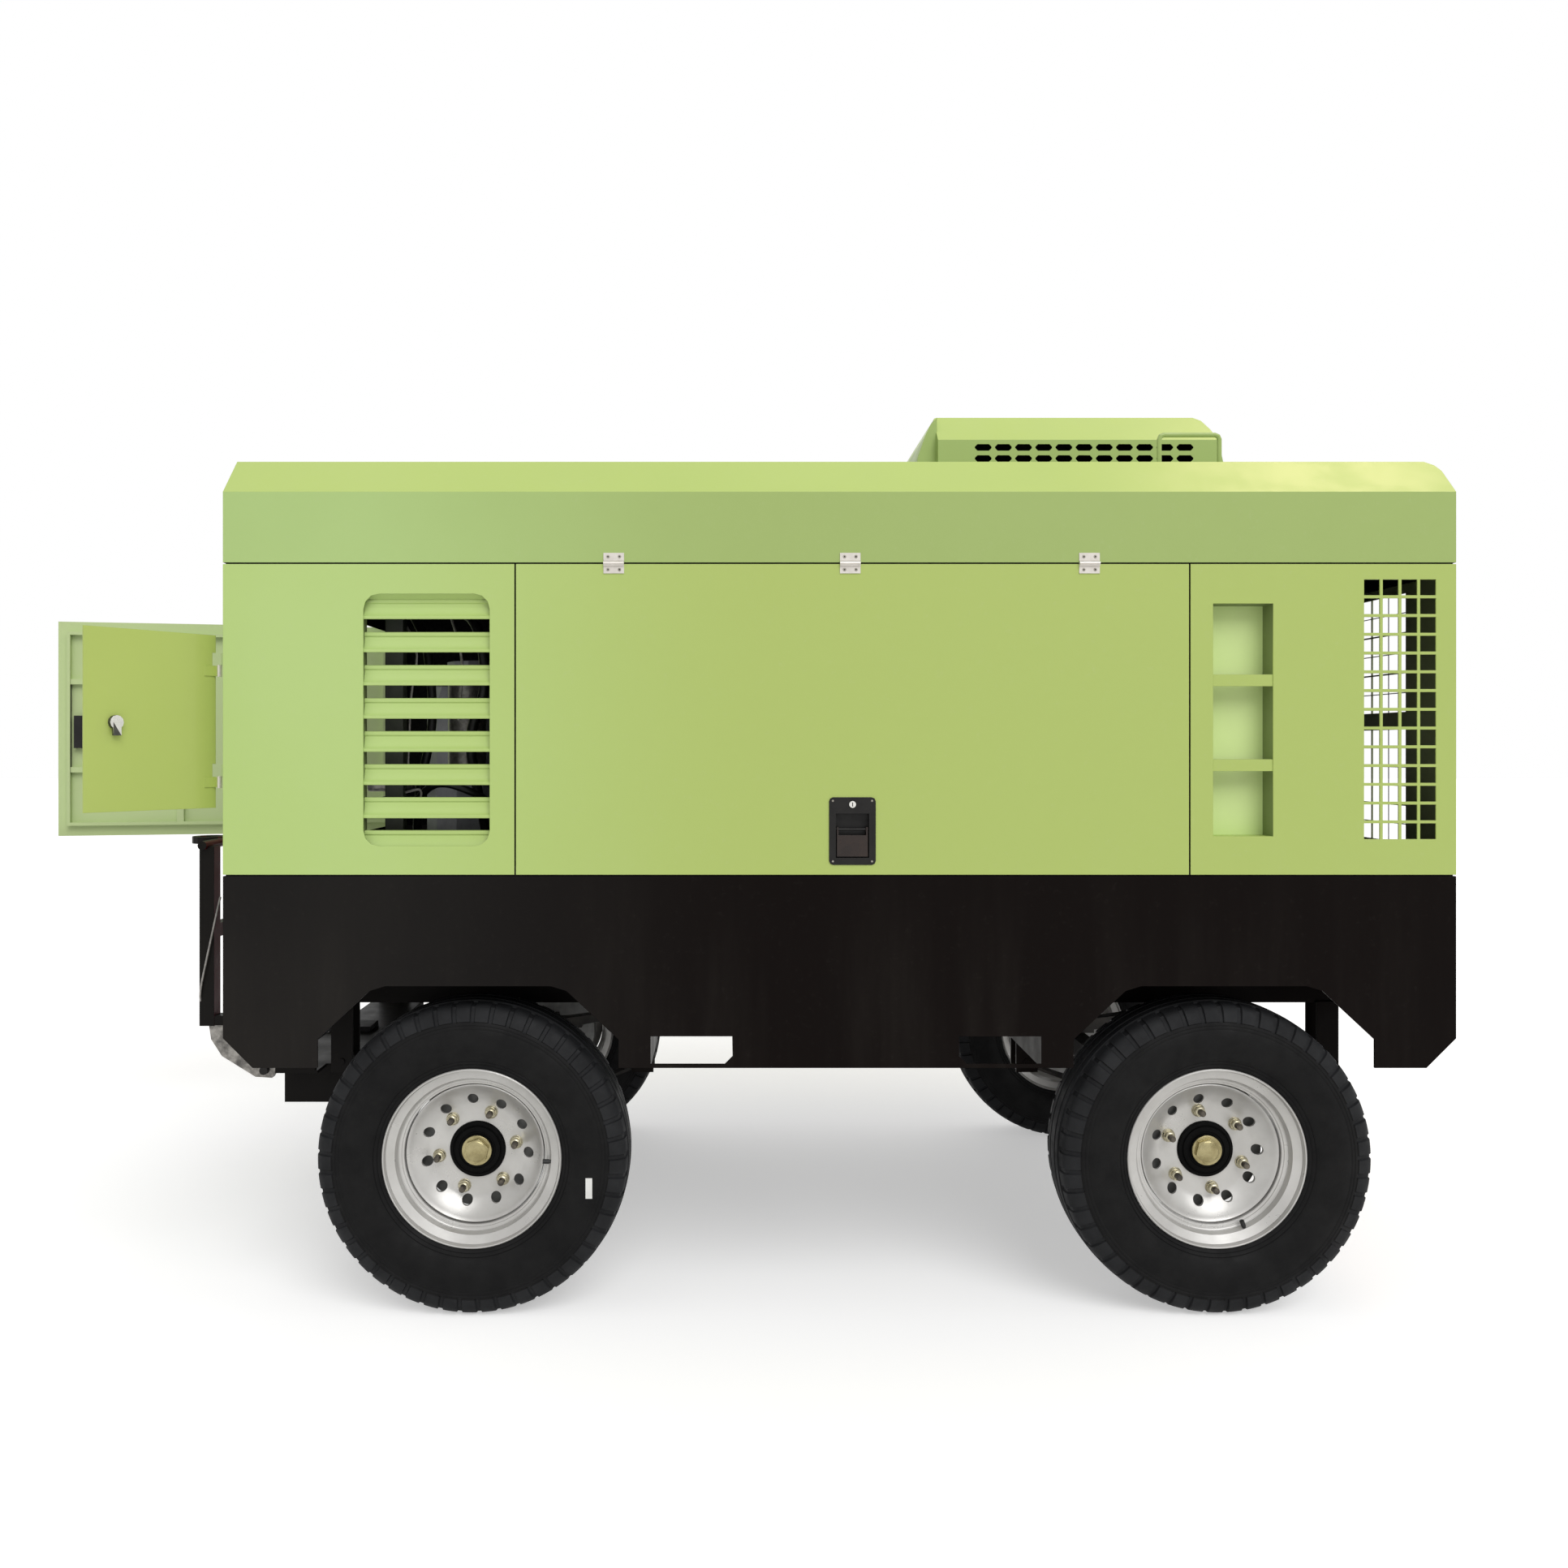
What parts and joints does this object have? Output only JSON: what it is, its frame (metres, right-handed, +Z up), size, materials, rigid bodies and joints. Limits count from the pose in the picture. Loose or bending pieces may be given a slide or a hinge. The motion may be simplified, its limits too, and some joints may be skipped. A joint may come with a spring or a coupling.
{
  "type": "towable diesel air compressor",
  "caption": "Four-wheeled towable diesel screw compressor in a box canopy, with lifting side doors, end doors, louvres, folding drawbar and leaf-sprung axles.",
  "frame": {"origin": "the middle of the whole object's box at rest, on the ground", "axes": "+X towards the cooler end, away from the drawbar; +Z up; -Y the side with the louvre"},
  "size_m": [4.3202, 2.0354, 2.429],
  "materials": {
    "green": "satin powder coat",
    "bright_green": "satin powder coat",
    "black_paint": "satin paint",
    "dark_steel": "blackened",
    "steel": "bright",
    "silver": "silver paint",
    "rubber": "matt",
    "plastic": "fine texture",
    "red": "gloss",
    "grey": "satin",
    "core": "finned core"
  },
  "bodies": {
    "machine": {"floor_tray": "black_paint", "skirt_near": "black_paint", "skirt_far": "black_paint", "rail_near": "black_paint", "rail_far": "black_paint", "front_beam": "black_paint", "axle_front": "black_paint", "axle_rear": "black_paint", "fuel_tank": "black_paint", "air_filter": "black_paint", "spring_front_near": "dark_steel", "spring_front_far": "dark_steel", "spring_rear_near": "dark_steel", "spring_rear_far": "dark_steel", "panel_front_near": "green", "panel_front_far": "green", "panel_rear_near": "green", "panel_rear_far": "green", "louvre": "green", "roof": "green", "hood": "green", "handrail": "green", "front_frame": "green", "rear_grille": "green", "separator_tank": "green", "battery": "plastic", "silencer": "steel", "outlet_pipe": "steel", "control_box": "grey", "engine": "grey", "airend": "grey", "radiator": "core"},
    "knuckle_near": {"knuckle_near": "black_paint"},
    "knuckle_far": {"knuckle_far": "black_paint"},
    "tie_rod": {"tie_rod": "black_paint"},
    "yoke": {"steer_yoke": "black_paint"},
    "drawbar": {"drawbar": "black_paint"},
    "wheel_front_near": {"tyre_front_near": "rubber", "rim_front_near": "silver", "hub_front_near": "black_paint"},
    "wheel_front_far": {"tyre_front_far": "rubber", "rim_front_far": "silver", "hub_front_far": "black_paint"},
    "wheel_rear_near": {"tyre_rear_near": "rubber", "rim_rear_near": "silver", "hub_rear_near": "black_paint"},
    "wheel_rear_far": {"tyre_rear_far": "rubber", "rim_rear_far": "silver", "hub_rear_far": "black_paint"},
    "side_door_near": {"door_near": "green"},
    "side_door_far": {"door_far": "green"},
    "paddle_near": {"latch_near": "plastic"},
    "paddle_far": {"latch_far": "plastic"},
    "end_door": {"end_door": "green"},
    "end_paddle": {"end_latch": "plastic"},
    "control_door": {"control_door": "bright_green"},
    "cam_lock": {"cam_lock": "steel"},
    "fan": {"fan": "plastic"},
    "stop_button": {"stop_button": "red"},
    "valve_lever": {"valve_lever": "red"}
  },
  "joints": [
    {"name": "steer", "type": "hinge", "parent": "machine", "child": "yoke", "pos_m": [-0.85995, 0.10821, 0.5], "axis": [0, 0, 1], "range_deg": [-12, 12]},
    {"name": "drawbar_fold", "type": "hinge", "parent": "yoke", "child": "drawbar", "pos_m": [-1.05995, 0.10821, 0.499], "axis": [0, 1, 0], "range_deg": [-85, 0]},
    {"name": "kingpin_near", "type": "hinge", "parent": "machine", "child": "knuckle_near", "pos_m": [-0.33995, -0.49179, 0.4025], "axis": [0, 0, 1], "range_deg": [-8.1, 8.1]},
    {"name": "kingpin_far", "type": "hinge", "parent": "machine", "child": "knuckle_far", "pos_m": [-0.33995, 0.70821, 0.4025], "axis": [0, 0, 1], "range_deg": [-8.1, 8.1]},
    {"name": "tie_rod_slide", "type": "slide", "parent": "machine", "child": "tie_rod", "axis": [0, 1, 0], "range_m": [-0.0212, 0.0212]},
    {"name": "wheel_front_near_spin", "type": "hinge", "parent": "knuckle_near", "child": "wheel_front_near", "pos_m": [-0.33995, -0.66179, 0.4025], "axis": [0, 1, 0], "continuous": true},
    {"name": "wheel_front_far_spin", "type": "hinge", "parent": "knuckle_far", "child": "wheel_front_far", "pos_m": [-0.33995, 0.87821, 0.4025], "axis": [0, 1, 0], "continuous": true},
    {"name": "wheel_rear_near_spin", "type": "hinge", "parent": "machine", "child": "wheel_rear_near", "pos_m": [1.57305, -0.66179, 0.4025], "axis": [0, 1, 0], "continuous": true},
    {"name": "wheel_rear_far_spin", "type": "hinge", "parent": "machine", "child": "wheel_rear_far", "pos_m": [1.57305, 0.87821, 0.4025], "axis": [0, 1, 0], "continuous": true},
    {"name": "side_door_near_lift", "type": "hinge", "parent": "machine", "child": "side_door_near", "pos_m": [0.63255, -0.79679, 1.924], "axis": [1, 0, 0], "range_deg": [-85, 0]},
    {"name": "side_door_far_lift", "type": "hinge", "parent": "machine", "child": "side_door_far", "pos_m": [0.63255, 1.01321, 1.924], "axis": [1, 0, 0], "range_deg": [0, 85]},
    {"name": "paddle_near_pull", "type": "hinge", "parent": "side_door_near", "child": "paddle_near", "pos_m": [0.63255, -0.78229, 1.2505], "axis": [1, 0, 0], "range_deg": [-35, 0], "stiffness_Nm_per_rad": 0.5, "springref_deg": 2.86},
    {"name": "paddle_far_pull", "type": "hinge", "parent": "side_door_far", "child": "paddle_far", "pos_m": [0.63255, 0.99871, 1.2505], "axis": [1, 0, 0], "range_deg": [0, 35], "stiffness_Nm_per_rad": 0.5, "springref_deg": -2.86},
    {"name": "end_door_swing", "type": "hinge", "parent": "machine", "child": "end_door", "pos_m": [-0.97045, 1.00071, 1.529], "axis": [0, 0, 1], "range_deg": [-22, 46]},
    {"name": "end_paddle_pull", "type": "hinge", "parent": "end_door", "child": "end_paddle", "pos_m": [-2.05537, 0.75405, 1.533], "axis": [-0.9781, -0.2079, 0], "range_deg": [-35, 0], "stiffness_Nm_per_rad": 0.5, "springref_deg": 2.86},
    {"name": "control_door_swing", "type": "hinge", "parent": "machine", "child": "control_door", "pos_m": [-0.98395, -0.75179, 1.5245], "axis": [0, 0, 1], "range_deg": [-144, 10]},
    {"name": "cam_lock_turn", "type": "hinge", "parent": "control_door", "child": "cam_lock", "pos_m": [-1.15689, -0.9563, 1.5185], "axis": [-0.809, 0.5878, 0], "range_deg": [0, 90]},
    {"name": "fan_spin", "type": "hinge", "parent": "machine", "child": "fan", "pos_m": [1.66005, 0.10821, 1.429], "axis": [1, 0, 0], "continuous": true},
    {"name": "stop_press", "type": "slide", "parent": "machine", "child": "stop_button", "axis": [1, 0, 0], "range_m": [0, 0.006], "stiffness_N_per_m": 800},
    {"name": "valve_turn", "type": "hinge", "parent": "machine", "child": "valve_lever", "pos_m": [-0.88995, 0.44821, 1.376], "axis": [0, 0, 1], "range_deg": [0, 90]}
  ],
  "couplings": [
    {"joint": "kingpin_near", "follows": "steer", "ratio": 0.66667},
    {"joint": "kingpin_far", "follows": "steer", "ratio": 0.66667},
    {"joint": "tie_rod_slide", "follows": "steer", "m_per_rad": -0.1}
  ]
}
